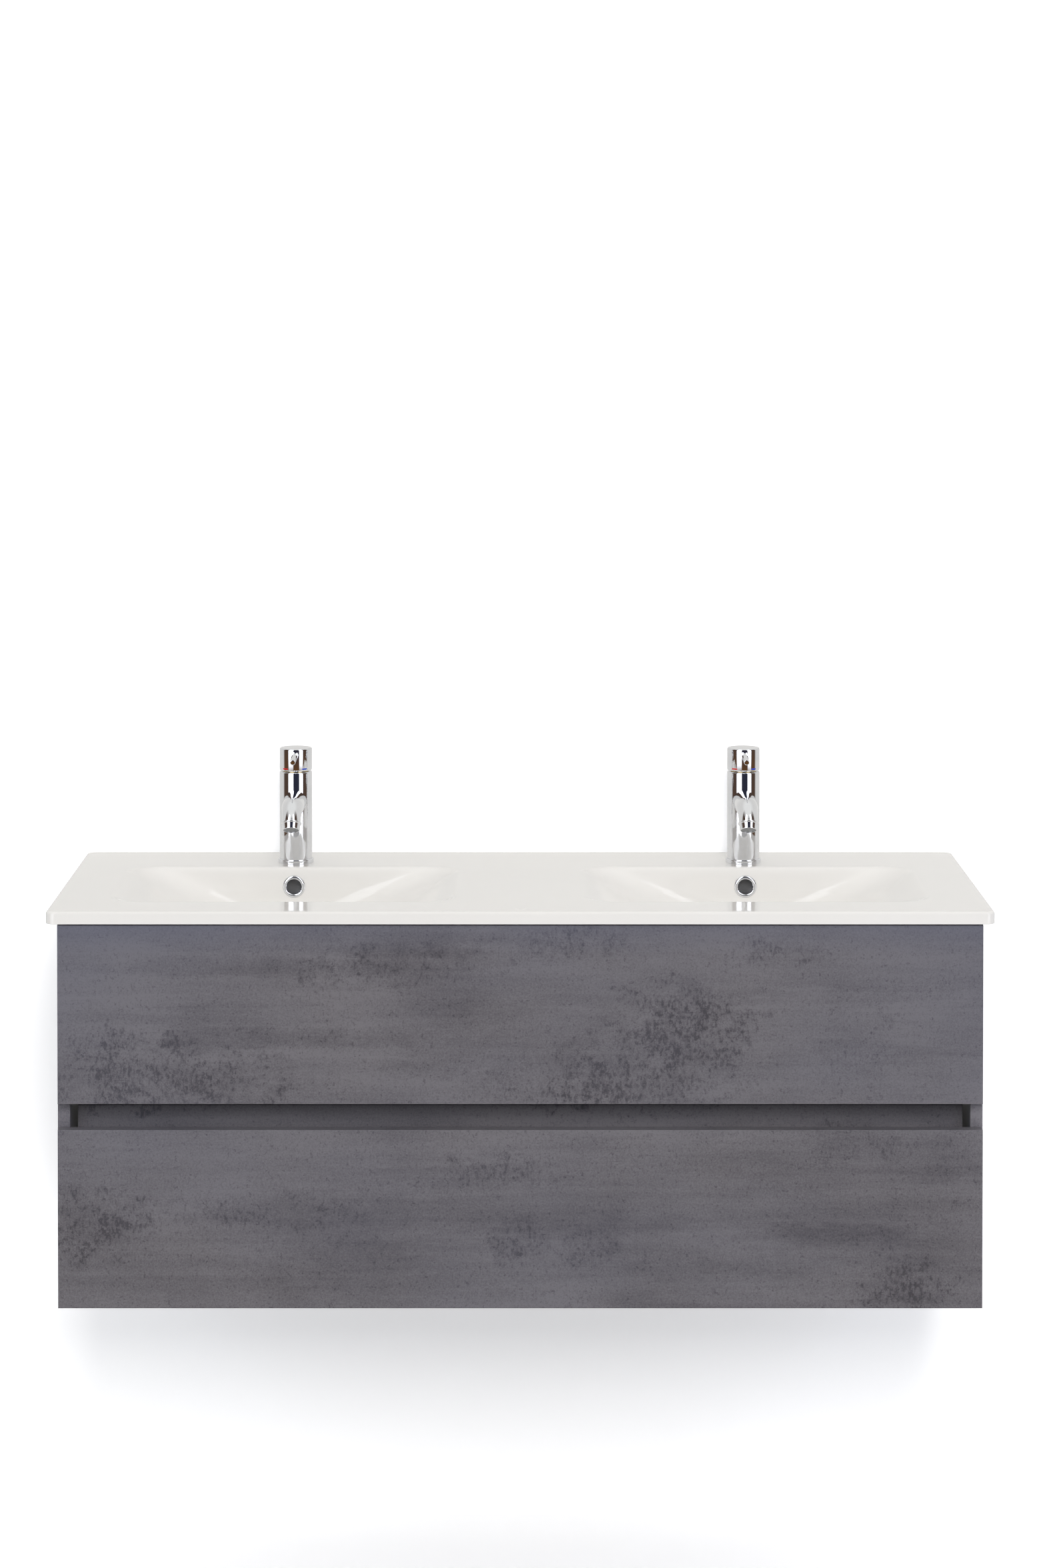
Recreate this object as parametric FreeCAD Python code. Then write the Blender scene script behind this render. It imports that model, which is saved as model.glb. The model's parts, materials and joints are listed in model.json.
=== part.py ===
import FreeCAD, Part
import math
import os

# Wall-hung bathroom vanity: a double ceramic washbasin on a cabinet with two wide drawers.
# Millimetres. +X right, -Y towards the user, +Z up. The wall is the plane y = 0, and the
# origin is midway between the two wall screws that carry the cabinet.

V = FreeCAD.Vector

# ---------------------------------------------------------------- driving dimensions
BOARD = 16.0                    # thickness of every decor board
CARCASS_W = 1184.0              # outside of the two side panels
CARCASS_TOP = 60.0              # height of the carcass top above the wall screws
CARCASS_BOTTOM = -433.0
CARCASS_FRONT = -442.0          # front edges of the carcass
SIDE_X = CARCASS_W / 2 - BOARD  # inner face of a side panel

FRONT_W = 1180.0
FRONT_FACE = -460.0             # outer face of both drawer fronts
FRONT_BACK = FRONT_FACE + BOARD
TOP_GAP = 2.0                   # between the basin and the upper front
FRONT_H = 229.0
GRIP_GAP = 33.0                 # open gap between the two fronts
ARRIS = 1.0                     # rounding of the edge bands

UPPER_FRONT_TOP = CARCASS_TOP - TOP_GAP
UPPER_FRONT_BOTTOM = UPPER_FRONT_TOP - FRONT_H
LOWER_FRONT_TOP = UPPER_FRONT_BOTTOM - GRIP_GAP
LOWER_FRONT_BOTTOM = LOWER_FRONT_TOP - FRONT_H

RECESS_W = 1137.0               # board behind the grip gap
RECESS_DEPTH = 20.0             # finger space behind the lower front
RECESS_FACE = FRONT_BACK + RECESS_DEPTH
RECESS_BACK = RECESS_FACE + BOARD
RECESS_TOP = UPPER_FRONT_BOTTOM - 9.0

BASIN_W = 1210.0
BASIN_D = 465.0
BASIN_EDGE = 16.0               # visible edge of the ceramic slab
DECK = CARCASS_TOP + BASIN_EDGE
BASIN_CORNER = 12.0
BASIN_ARRIS = 4.0
BOWL_X = 308.0                  # bowl, waste and tap centres either side of the middle
CERAMIC = 9.0                   # wall of the bowls
BOWL_BACK = -127.0
BOWL_FRONT = -388.0
BOWL_HALF = 221.0               # half the bowl's width at the deck
BOWL_DEPTH = 100.0
DRAIN_Y = -240.0
TAP_Y = -85.0
TAP_HOLE_R = 17.5
DRAIN_HOLE_R = 23.0
OVERFLOW_DROP = 26.0            # overflow centre below the deck
OVERFLOW_R = 10.0
OVERFLOW_RING_R = 15.25

# drawer boxes
SLIDE_THICK = 12.7              # telescopic slide, side panel to drawer side
SLIDE_H = 45.0
SLIDE_LEN = 340.0
SLIDE_FRONT = RECESS_BACK + 4.0
STEEL = 1.2
BOX_X = SIDE_X - SLIDE_THICK    # outer face of a drawer side
BOX_INNER = BOX_X - BOARD
BOX_BACK = -60.0
BOTTOM_THICK = 8.0
GROOVE = 6.0
UPPER_BOX = (-164.0, -64.0)     # lower and upper edge of the upper drawer's sides
LOWER_BOX = (-405.0, -245.0)
BOTTOM_LIFT = 6.0               # drawer bottom above the lower edge of the sides
CUTOUT_HALF = 60.0              # half width of the trap cut-outs in the upper drawer
CUTOUT_Y = -250.0               # centre of their round front end
CUTOUT_WALL = 3.0

# wall fixing
WALL_SCREW_X = 540.0
WALL_SCREW_R = 4.5

# traps
PIPE_R = 16.0
PIPE_Z = -128.0

# taps, heights above the deck
TAP_R = 22.25
TAP_BODY_H = 125.0
CAP_BOTTOM = 128.5
CAP_TOP = 158.0
CAP_WALL = 2.75
PIVOT_Z = 142.0
PIN_R = 1.5
RUNNING = 0.05                  # radial clearance of running fits
LIFT_DEG = 18.0
SPOUT_END_Y = -104.0            # spout end before its collar, from the tap's axis
SPOUT_END_Z = 70.0
SPOUT_DIP_DEG = 63.0            # direction of the outlet below the horizontal
COLLAR_R = 13.5
COLLAR_LEN = 10.0

os.makedirs("parts", exist_ok=True)


# ---------------------------------------------------------------- helpers
def box(x, y, z):
    """Block between three pairs of limits."""
    return Part.makeBox(x[1] - x[0], y[1] - y[0], z[1] - z[0], V(x[0], y[0], z[0]))


def rod(radius, start, end):
    """Round bar from one point to another."""
    start, end = V(*start), V(*end)
    return Part.makeCylinder(radius, (end - start).Length, start, end - start)


def tube(outer, inner, start, end):
    """Round tube from one point to another."""
    return rod(outer, start, end).cut(rod(inner, start, end))


def hexagon(across_flats, z0, z1, x=0.0, y=0.0):
    """Upright hexagonal prism."""
    radius = across_flats / math.sqrt(3)
    points = [V(x + radius * math.cos(math.radians(a)), y + radius * math.sin(math.radians(a)), z0)
              for a in range(0, 420, 60)]
    return Part.Face(Part.makePolygon(points)).extrude(V(0, 0, z1 - z0))


def mirrored(shape):
    """The same piece on the other side of the middle."""
    return shape.mirror(V(0, 0, 0), V(1, 0, 0))


def both(*pieces):
    """Every piece and its mirror image."""
    return [shape for piece in pieces for shape in (piece, mirrored(piece))]


def moved(shape, x, y, z):
    """Copy of a shape at another place."""
    copy = shape.copy()
    copy.translate(V(x, y, z))
    return copy


def edges_where(shape, test):
    """Edges whose end points all pass a test."""
    return [e for e in shape.Edges if all(test(v.Point) for v in e.Vertexes)]


def save(node, *pieces):
    """Write one node, as one solid or as a group of separate solids."""
    solids = [s for piece in pieces for s in piece.Solids]
    shape = solids[0] if len(solids) == 1 else Part.makeCompound(solids)
    shape.exportStep(f"parts/{node}.step")


# ---------------------------------------------------------------- screws, dowels and cams
DOWEL_R = 4.0
CAM_R = 7.5
CAM_BOLT_R = 3.0
CAM_FROM_JOINT = 34.0
DEPTH_IN_SIDE = 10.0            # of dowels and bolts in the side panel
DOWEL_IN_BOARD = 22.0


def dowel_and_cam(y, z, cam_way, spread):
    """Right-hand corner joint at an end of a board: a dowel, a cam bolt and its cam.

    cam_way is the direction from the board's middle to the face that the cam is let into,
    and spread is how far the dowel and the bolt stand either side of the point given.
    """
    along = V(0, 1, 0) if cam_way.z else V(0, 0, 1)
    middle = V(SIDE_X, y, z)
    pin_at, bolt_at = middle - along * spread, middle + along * spread
    dowel = rod(DOWEL_R, pin_at - V(DOWEL_IN_BOARD, 0, 0), pin_at + V(DEPTH_IN_SIDE, 0, 0))
    cam_at = bolt_at - V(CAM_FROM_JOINT, 0, 0)
    cam = rod(CAM_R, cam_at - cam_way * (CAM_BOLT_R + 1.5), cam_at + cam_way * (BOARD / 2))
    bolt = rod(CAM_BOLT_R, cam_at, bolt_at + V(DEPTH_IN_SIDE, 0, 0)).cut(cam)
    return [dowel], [cam, bolt]


def screw(at, way, length, shank_r=1.75, head_r=3.0, head_h=1.0):
    """Pan-head screw: at is under the head, and way points into the board."""
    at, way = V(*at), V(*way)
    return rod(head_r, at - way * head_h, at).fuse(rod(shank_r, at, at + way * length)).removeSplitter()


DOWN, BACKWARDS = V(0, 0, -1), V(0, 1, 0)
RAIL_DEPTH = 40.0
BACK_SET_IN = 18.0
BACK_RAIL_MID = -BACK_SET_IN - BOARD / 2
HANGING_RAIL = (-40.0, CARCASS_TOP)
LOWER_RAIL = (CARCASS_BOTTOM + BOARD, CARCASS_BOTTOM + BOARD + 80.0)

corner_joints = [
    dowel_and_cam(-110, CARCASS_BOTTOM + BOARD / 2, DOWN, 24),
    dowel_and_cam(-350, CARCASS_BOTTOM + BOARD / 2, DOWN, 24),
    dowel_and_cam(CARCASS_FRONT + RAIL_DEPTH / 2, CARCASS_TOP - BOARD / 2, DOWN, 11),
    dowel_and_cam(BACK_RAIL_MID, -12, BACKWARDS, 16),
    dowel_and_cam(BACK_RAIL_MID, sum(LOWER_RAIL) / 2, BACKWARDS, 18),
]
dowels = both(*[dowel for found, _ in corner_joints for dowel in found])
cams = both(*[cam for _, found in corner_joints for cam in found])


# ---------------------------------------------------------------- hangers and wall plates
HANGER_Z = 38.0                 # underside of the hook, which rests on the wall plate's lip
HOOK_THICK = 4.0
HOUSING_W = 24.0                # hanger housing, in from the side panel
FLANGE_THICK = 2.5
HOUSING_BACK = -36.0
HOUSING_FRONT = -74.0
PLATE_HALF = 27.0
PLATE_THICK = 3.0
PLATE_SHIFT = 3.0               # plate's middle outside the screw, so that its lip meets the hook
LIP_OUT = 12.0                  # outer face of the lip from the wall


def wall_plate():
    """Right-hand plate on the wall, with an upturned lip that the hook drops over."""
    middle = WALL_SCREW_X + PLATE_SHIFT
    x = (middle - PLATE_HALF, middle + PLATE_HALF)
    shelf_z = (15, 15 + PLATE_THICK)
    plate = box(x, (-PLATE_THICK, 0), (-25, shelf_z[1]))
    shelf = box(x, (-LIP_OUT, -PLATE_THICK), shelf_z)
    lip = box(x, (-LIP_OUT, PLATE_THICK - LIP_OUT), (shelf_z[0], HANGER_Z))
    screw_hole = rod(WALL_SCREW_R, (WALL_SCREW_X, -PLATE_THICK - 1, 0), (WALL_SCREW_X, 1, 0))
    return plate.fuse([shelf, lip]).removeSplitter().cut(screw_hole)


def hanger():
    """Right-hand hanger: a housing flanged to the side panel, and a hook to the wall plate."""
    hook_x = (SIDE_X - HOUSING_W, SIDE_X - 8)
    hook_top = HANGER_Z + HOOK_THICK
    flange = box((SIDE_X - FLANGE_THICK, SIDE_X), (HOUSING_FRONT - 30, HOUSING_BACK), (16, 56))
    housing = box((SIDE_X - HOUSING_W, SIDE_X - FLANGE_THICK), (HOUSING_FRONT, HOUSING_BACK), (20, 54))
    arm = box(hook_x, (HOUSING_BACK, -6), (HANGER_Z, hook_top))
    tip = box(hook_x, (-9, -6), (22, hook_top))
    return flange.fuse([housing, arm, tip]).removeSplitter()


def hanger_screws():
    """Right-hand set: two screws into the side panel and two adjusting screws."""
    fixing = [screw((SIDE_X - FLANGE_THICK, y, z), (1, 0, 0), 14, 2.0, 4.0, 1.5)
              for y, z in ((-96, 24), (-84, 48))]
    adjusting = [screw((SIDE_X - HOUSING_W / 2 - 1, HOUSING_FRONT, z), (0, 1, 0), 20, 2.5, 4.5, 2.5)
                 for z in (29, 45)]
    return fixing + adjusting


all_hanger_screws = both(*hanger_screws())
hanger_cutter = Part.makeCompound(all_hanger_screws)
save("wall_plates", *both(wall_plate()))
save("hangers", *[h.cut(hanger_cutter) for h in both(hanger())])
save("hanger_screws", *all_hanger_screws)


# ---------------------------------------------------------------- telescopic slides
def channel(web_u, lip_u, half_height, lip, y0, z):
    """Right-hand rolled channel. web_u and lip_u are measured in from the side panel."""
    way = 1 if lip_u > web_u else -1
    inner_u, inner_lip = web_u + way * STEEL, lip_u - way * STEEL
    upper = [(lip_u, half_height - lip), (lip_u, half_height), (web_u, half_height)]
    inner_top = half_height - STEEL
    hollow = [(inner_u, inner_top), (inner_lip, inner_top), (inner_lip, half_height - lip)]
    outline = upper + [(u, -w) for u, w in reversed(upper)]
    outline += [(u, -w) for u, w in reversed(hollow)] + hollow
    points = [V(SIDE_X - u, y0, z + w) for u, w in outline]
    return Part.Face(Part.makePolygon(points + points[:1])).extrude(V(0, SLIDE_LEN, 0))


def slide_members(z):
    """Cabinet, middle and drawer member of one right-hand slide, with running gaps."""
    cabinet = channel(0, 9.0, SLIDE_H / 2, 4.0, SLIDE_FRONT, z)
    middle = channel(2.7, 10.5, 17.0, 3.8, SLIDE_FRONT, z)
    drawer = channel(SLIDE_THICK, 5.2, 12.0, 2.6, SLIDE_FRONT, z)
    return cabinet, middle, drawer


def slide_screws(z):
    """Right-hand screws: three through the cabinet member, three through the drawer member."""
    places = [SLIDE_FRONT + SLIDE_LEN * share for share in (0.1, 0.5, 0.9)]
    cabinet = [screw((SIDE_X - STEEL, y, z), (1, 0, 0), 12) for y in places]
    drawer = [screw((BOX_X + STEEL, y, z), (-1, 0, 0), 12) for y in places]
    return cabinet, drawer


slide_z = {"upper": sum(UPPER_BOX) / 2, "lower": sum(LOWER_BOX) / 2}
cabinet_screws, drawer_screws = [], {}
for level, z in slide_z.items():
    into_panel, into_drawer = slide_screws(z)
    cabinet_screws += both(*into_panel)
    drawer_screws[level] = both(*into_drawer)
    cabinet_member, middle_member, drawer_member = slide_members(z)
    panel_cutter = Part.makeCompound(into_panel)
    box_cutter = Part.makeCompound(into_drawer)
    save(f"{level}_slide_cabinet_members", *both(cabinet_member.cut(panel_cutter)))
    save(f"{level}_slide_middle_members", *both(middle_member))
    save(f"{level}_slide_drawer_members", *both(drawer_member.cut(box_cutter)))
    save(f"{level}_drawer_screws", *drawer_screws[level])
save("slide_screws", *cabinet_screws)


# ---------------------------------------------------------------- carcass
carcass_cutter = Part.makeCompound(dowels + cams)
side_cutter = Part.makeCompound(dowels + cams + all_hanger_screws + cabinet_screws)


def rounded(board, test):
    """Board with the edges that pass a test rounded like an edge band."""
    return board.makeFillet(ARRIS, edges_where(board, test))


side = box((SIDE_X, SIDE_X + BOARD), (CARCASS_FRONT, 0), (CARCASS_BOTTOM, CARCASS_TOP))
side = rounded(side, lambda p: p.y < CARCASS_FRONT + 1)
right_side = side.cut(side_cutter)
save("side_panel_right", right_side)
save("side_panel_left", mirrored(side).cut(side_cutter))

across = (-SIDE_X, SIDE_X)
bottom = box(across, (CARCASS_FRONT, -BACK_SET_IN), (CARCASS_BOTTOM, CARCASS_BOTTOM + BOARD))
save("bottom_panel", bottom.cut(carcass_cutter))
front_rail = box(across, (CARCASS_FRONT, CARCASS_FRONT + RAIL_DEPTH), (CARCASS_TOP - BOARD, CARCASS_TOP))
save("front_rail", front_rail.cut(carcass_cutter))

back_y = (-BACK_SET_IN - BOARD, -BACK_SET_IN)
hanging_rail = box(across, back_y, HANGING_RAIL)
for notch in both(box((SIDE_X - HOUSING_W - 6, SIDE_X), back_y, (18, HANGING_RAIL[1] - 8))):
    hanging_rail = hanging_rail.cut(notch)
save("hanging_rail", hanging_rail.cut(carcass_cutter))
save("lower_back_rail", box(across, back_y, LOWER_RAIL).cut(carcass_cutter))
save("carcass_dowels", *dowels)
save("cam_fittings", *cams)

BUMPER_R = 4.0
BUMPER_THICK = 1.6
BUMPER_IN = 20.0                # from the upper and lower edges of a front
bumper_x = SIDE_X + BOARD / 2
bumper_z = [edge + way * BUMPER_IN for edge, way in (
    (UPPER_FRONT_TOP, -1), (UPPER_FRONT_BOTTOM, 1), (LOWER_FRONT_TOP, -1), (LOWER_FRONT_BOTTOM, 1))]
bumpers = [rod(BUMPER_R, (bumper_x, CARCASS_FRONT - BUMPER_THICK, z), (bumper_x, CARCASS_FRONT, z))
           for z in bumper_z]
save("front_bumpers", *both(*bumpers))


# ---------------------------------------------------------------- drawers
def drawer_front(z0, z1):
    """Decor front with rounded edge bands."""
    front = box((-FRONT_W / 2, FRONT_W / 2), (FRONT_FACE, FRONT_BACK), (z0, z1))
    return front.makeFillet(ARRIS, edges_where(front, lambda p: p.y < FRONT_FACE + 1))


def u_block(x, half, z0, z1):
    """Upright block with a round front end, open towards the wall side."""
    straight = box((x - half, x + half), (CUTOUT_Y, BOX_BACK), (z0, z1))
    return straight.fuse(rod(half, (x, CUTOUT_Y, z0), (x, CUTOUT_Y, z1))).removeSplitter()


def drawer_bottom(box_z, y_front):
    """Bottom board, let into grooves in the sides and in the front."""
    z0 = box_z[0] + BOTTOM_LIFT
    half = BOX_INNER + GROOVE
    return box((-half, half), (y_front - GROOVE, BOX_BACK), (z0, z0 + BOTTOM_THICK))


def drawer_side(box_z, y_front, cutter):
    """Right-hand drawer side with its groove and screw holes."""
    return box((BOX_INNER, BOX_X), (y_front, BOX_BACK), box_z).cut(cutter)


for level, box_z, y_front in (("upper", UPPER_BOX, FRONT_BACK), ("lower", LOWER_BOX, RECESS_BACK)):
    whole_bottom = drawer_bottom(box_z, y_front)
    cutter = Part.makeCompound([whole_bottom] + drawer_screws[level])
    right = drawer_side(box_z, y_front, cutter)
    save(f"{level}_drawer_side_right", right)
    save(f"{level}_drawer_side_left", mirrored(right))
    inside_z = (whole_bottom.BoundBox.ZMax, box_z[1])
    back = box((-BOX_INNER, BOX_INNER), (BOX_BACK - BOARD, BOX_BACK), inside_z)
    bottom_board = whole_bottom
    if level == "upper":
        for x in (-BOWL_X, BOWL_X):
            back = back.cut(u_block(x, CUTOUT_HALF + CUTOUT_WALL, *inside_z))
            bottom_board = bottom_board.cut(u_block(x, CUTOUT_HALF, box_z[0], box_z[1]))
            side_name = "left" if x < 0 else "right"
            outer = u_block(x, CUTOUT_HALF + CUTOUT_WALL, inside_z[0], inside_z[1] - 2)
            inner = u_block(x, CUTOUT_HALF, inside_z[0], inside_z[1] - 2)
            save(f"upper_trap_surround_{side_name}", outer.cut(inner))
    save(f"{level}_drawer_back", back)
    save(f"{level}_drawer_bottom", bottom_board)
    if level == "upper":
        save("upper_front", drawer_front(UPPER_FRONT_BOTTOM, UPPER_FRONT_TOP).cut(whole_bottom))
    else:
        recess = box((-RECESS_W / 2, RECESS_W / 2), (RECESS_FACE, RECESS_BACK), (box_z[0], RECESS_TOP))
        recess = rounded(recess, lambda p: p.y < RECESS_FACE + 1 or p.z > RECESS_TOP - 1)
        save("lower_recess_board", recess.cut(whole_bottom))
        save("lower_front", drawer_front(LOWER_FRONT_BOTTOM, LOWER_FRONT_TOP))

SPACER_HALF = 30.0
SPACER_Z = (-395.0, -295.0)
spacers = [box((x - SPACER_HALF, x + SPACER_HALF), (FRONT_BACK, RECESS_FACE), SPACER_Z) for x in (160, 480)]
save("lower_front_spacers", *both(*spacers))


# ---------------------------------------------------------------- washbasin
def soft_rectangle(half_x, y_back, y_front, radius, z, x=BOWL_X):
    """Closed outline of a rectangle with round corners, counted from the same corner each time."""
    x0, x1 = x - half_x, x + half_x
    s = radius * (1 - math.sqrt(0.5))
    corners = [
        ((x1 - radius, y_front), (x1 - s, y_front + s), (x1, y_front + radius)),
        ((x1, y_back - radius), (x1 - s, y_back - s), (x1 - radius, y_back)),
        ((x0 + radius, y_back), (x0 + s, y_back - s), (x0, y_back - radius)),
        ((x0, y_front + radius), (x0 + s, y_front + s), (x0 + radius, y_front)),
    ]
    edges = []
    for corner, following in zip(corners, corners[1:] + corners[:1]):
        a, b, c = (V(px, py, z) for px, py in corner)
        edges.append(Part.Arc(a, b, c).toShape())
        edges.append(Part.LineSegment(c, V(*following[0], z)).toShape())
    return Part.Wire(edges)


# depth below the deck, half width, back, front and corner radius of the bowl
BOWL_SECTIONS = (
    (0, BOWL_HALF, BOWL_BACK, BOWL_FRONT, 40),
    (45, BOWL_HALF - 78, BOWL_BACK - 5, BOWL_FRONT + 16, 60),
    (78, 88, BOWL_BACK - 24, BOWL_FRONT + 50, 64),
    (BOWL_DEPTH, 46, DRAIN_Y + 46, DRAIN_Y - 46, 44),
)


def bowl(grow):
    """Right-hand bowl as a solid: the hollow itself, or its outside grown by the wall.

    The hollow rises just above the deck, and the outside starts within the slab.
    """
    first, *middle, last = BOWL_SECTIONS
    levels = [(grow / 2 or -1.0, *first[1:]), *middle, (BOWL_DEPTH + grow, *last[1:])]
    wires = [soft_rectangle(half + grow, back + grow, front - grow, corner + grow, DECK - drop)
             for drop, half, back, front, corner in levels]
    return Part.makeLoft(wires, True, False)


slab = box((-BASIN_W / 2, BASIN_W / 2), (-BASIN_D, 0), (CARCASS_TOP, DECK))
corner_edges = [e for e in edges_where(slab, lambda p: p.y < 1 - BASIN_D) if e.BoundBox.ZLength > 1]
slab = slab.makeFillet(BASIN_CORNER, corner_edges)
slab = slab.makeFillet(BASIN_ARRIS, edges_where(slab, lambda p: p.z > DECK - 1e-6))

OVERFLOW_Z = DECK - OVERFLOW_DROP
OVERFLOW_WALL = BOWL_BACK - 3.0  # bowl's back wall at the overflow
hump = box((BOWL_X - 28, BOWL_X + 28), (BOWL_BACK - 4, BOWL_BACK + 15), (OVERFLOW_Z - 34, CARCASS_TOP + 4))
overflow_hole = rod(OVERFLOW_R, (BOWL_X, BOWL_BACK - 40, OVERFLOW_Z), (BOWL_X, BOWL_BACK + 11, OVERFLOW_Z))
ring = rod(OVERFLOW_RING_R, (BOWL_X, OVERFLOW_WALL - 3.5, OVERFLOW_Z), (BOWL_X, OVERFLOW_WALL, OVERFLOW_Z))
ring = ring.makeFillet(1.6, edges_where(ring, lambda p: p.y < OVERFLOW_WALL - 3))
sleeve_y = (OVERFLOW_WALL - 1, OVERFLOW_WALL + 12)
sleeve = rod(OVERFLOW_R + 1.5, (BOWL_X, sleeve_y[0], OVERFLOW_Z), (BOWL_X, sleeve_y[1], OVERFLOW_Z))
ring = ring.fuse(sleeve).removeSplitter().cut(overflow_hole)

basin = slab.fuse(both(bowl(CERAMIC), hump)).removeSplitter()
basin = basin.cut(Part.makeCompound(both(bowl(0))))
holes = [rod(TAP_HOLE_R, (BOWL_X, TAP_Y, DECK + 1), (BOWL_X, TAP_Y, CARCASS_TOP - 1)),
         rod(DRAIN_HOLE_R, (BOWL_X, DRAIN_Y, DECK), (BOWL_X, DRAIN_Y, DECK - BOWL_DEPTH - 20)),
         overflow_hole, ring]
basin = basin.cut(Part.makeCompound(both(*holes)))
save("basin", basin)
save("overflow_rings", *both(ring))


# ---------------------------------------------------------------- wastes and traps
FLOOR = DECK - BOWL_DEPTH
FLANGE_R = 32.0
FLANGE_TOP = FLOOR + 2.5
CERAMIC_UNDER = FLOOR - CERAMIC
WASTE_R = 22.0
WASTE_BORE = 18.5
WASTE_BOTTOM = CERAMIC_UNDER - 30.0
TAIL_BOTTOM = -104.0
STEM_R = 4.0


def waste():
    """Waste body with its flange, thread barrel, tailpiece and the guide for the plug."""
    x, y = BOWL_X, DRAIN_Y
    body = rod(FLANGE_R, (x, y, FLOOR), (x, y, FLANGE_TOP))
    body = body.fuse(rod(WASTE_R, (x, y, WASTE_BOTTOM), (x, y, FLANGE_TOP)))
    body = body.fuse(rod(PIPE_R - 0.3, (x, y, TAIL_BOTTOM), (x, y, WASTE_BOTTOM)))
    body = body.cut(rod(WASTE_BORE, (x, y, WASTE_BOTTOM + 2), (x, y, FLANGE_TOP + 1)))
    body = body.cut(rod(PIPE_R - 1.8, (x, y, TAIL_BOTTOM - 1), (x, y, WASTE_BOTTOM + 3)))
    bridge = box((x - WASTE_BORE - 1, x + WASTE_BORE + 1), (y - 2.5, y + 2.5), (FLOOR - 26, FLOOR - 16))
    guide = rod(STEM_R + 3, (x, y, FLOOR - 26), (x, y, FLOOR - 16))
    body = body.fuse([bridge, guide]).removeSplitter()
    return body.cut(rod(STEM_R + RUNNING, (x, y, FLOOR - 30), (x, y, FLOOR - 10)))


def plug():
    """Click-clack plug: a domed cap on a stem."""
    x, y = BOWL_X, DRAIN_Y
    cap = rod(30, (x, y, FLANGE_TOP + 0.4), (x, y, FLANGE_TOP + 7))
    cap = cap.makeFillet(5, edges_where(cap, lambda p: p.z > FLANGE_TOP + 6))
    return cap.fuse(rod(STEM_R, (x, y, FLOOR - 36), (x, y, FLANGE_TOP + 1))).removeSplitter()


def waste_nut():
    """Rubber-faced ring nut that clamps the waste under the ceramic."""
    x, y = BOWL_X, DRAIN_Y
    return tube(30, WASTE_R, (x, y, CERAMIC_UNDER - 9), (x, y, CERAMIC_UNDER))


TRAP_R = 29.0
TRAP_TOP = TAIL_BOTTOM - 2.0
TRAP_BOTTOM = -205.0
BRANCH_END = DRAIN_Y + 46.0


def trap():
    """Bottle trap: inlet nut, hollow bottle with a dip tube, and the outlet branch."""
    x, y = BOWL_X, DRAIN_Y
    bottle = rod(TRAP_R, (x, y, TRAP_BOTTOM), (x, y, TRAP_TOP))
    bottle = bottle.makeFillet(8, edges_where(bottle, lambda p: p.z < TRAP_BOTTOM + 1))
    collar = rod(TRAP_R + 2.5, (x, y, TRAP_BOTTOM + 38), (x, y, TRAP_BOTTOM + 50))
    neck = rod(24, (x, y, TRAP_TOP - 4), (x, y, TRAP_TOP + 22))
    branch = rod(20, (x, y, PIPE_Z), (x, BRANCH_END - 14, PIPE_Z))
    nut = rod(23.5, (x, BRANCH_END - 18, PIPE_Z), (x, BRANCH_END, PIPE_Z))
    shell = bottle.fuse([collar, neck, branch, nut]).removeSplitter()
    hollow = rod(TRAP_R - 2.5, (x, y, TRAP_BOTTOM + 3), (x, y, TRAP_TOP - 4))
    outlet = rod(PIPE_R, (x, y, PIPE_Z), (x, BRANCH_END + 1, PIPE_Z))
    inlet = rod(PIPE_R, (x, y, TRAP_TOP - 6), (x, y, TRAP_TOP + 23))
    dip = tube(PIPE_R + 1, PIPE_R - 1, (x, y, TRAP_BOTTOM + 25), (x, y, TRAP_TOP - 3.5))
    return shell.cut(hollow).cut(outlet).cut(inlet).fuse(dip).cut(inlet).removeSplitter()


def trap_pipe():
    """Outlet pipe to the wall. Its end in the branch is turned down to a spigot."""
    x = BOWL_X
    spigot = rod(PIPE_R - 0.5, (x, BRANCH_END - 24, PIPE_Z), (x, BRANCH_END + 1, PIPE_Z))
    pipe = rod(PIPE_R, (x, BRANCH_END + 0.5, PIPE_Z), (x, -2, PIPE_Z))
    bore = rod(PIPE_R - 2, (x, BRANCH_END - 25, PIPE_Z), (x, 0, PIPE_Z))
    return pipe.fuse(spigot).removeSplitter().cut(bore)


for name, piece in (("waste", waste()), ("plug", plug()), ("trap", trap()), ("trap_pipe", trap_pipe())):
    save(f"{name}_right", piece)
    save(f"{name}_left", mirrored(piece))
save("waste_nuts", *both(waste_nut()))


# ---------------------------------------------------------------- taps, drawn about their own axis
SPOUT_R = (15.4, 13.1)          # at the body and at the outlet
BEND_R = 30.0
SHANK_R = TAP_R - 6.0
SEAT_Z = 88.0                   # bottom of the cartridge seat
INLET_X, INLET_Y, INLET_R = 8.0, 4.0, 4.5
OUTLET_WAY = V(0, -math.cos(math.radians(SPOUT_DIP_DEG)), -math.sin(math.radians(SPOUT_DIP_DEG)))
SPOUT_END = V(0, SPOUT_END_Y, SPOUT_END_Z)
CARTRIDGE_R = 17.4
STUD_Y = -9.0
STUD_R = 4.0


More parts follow.
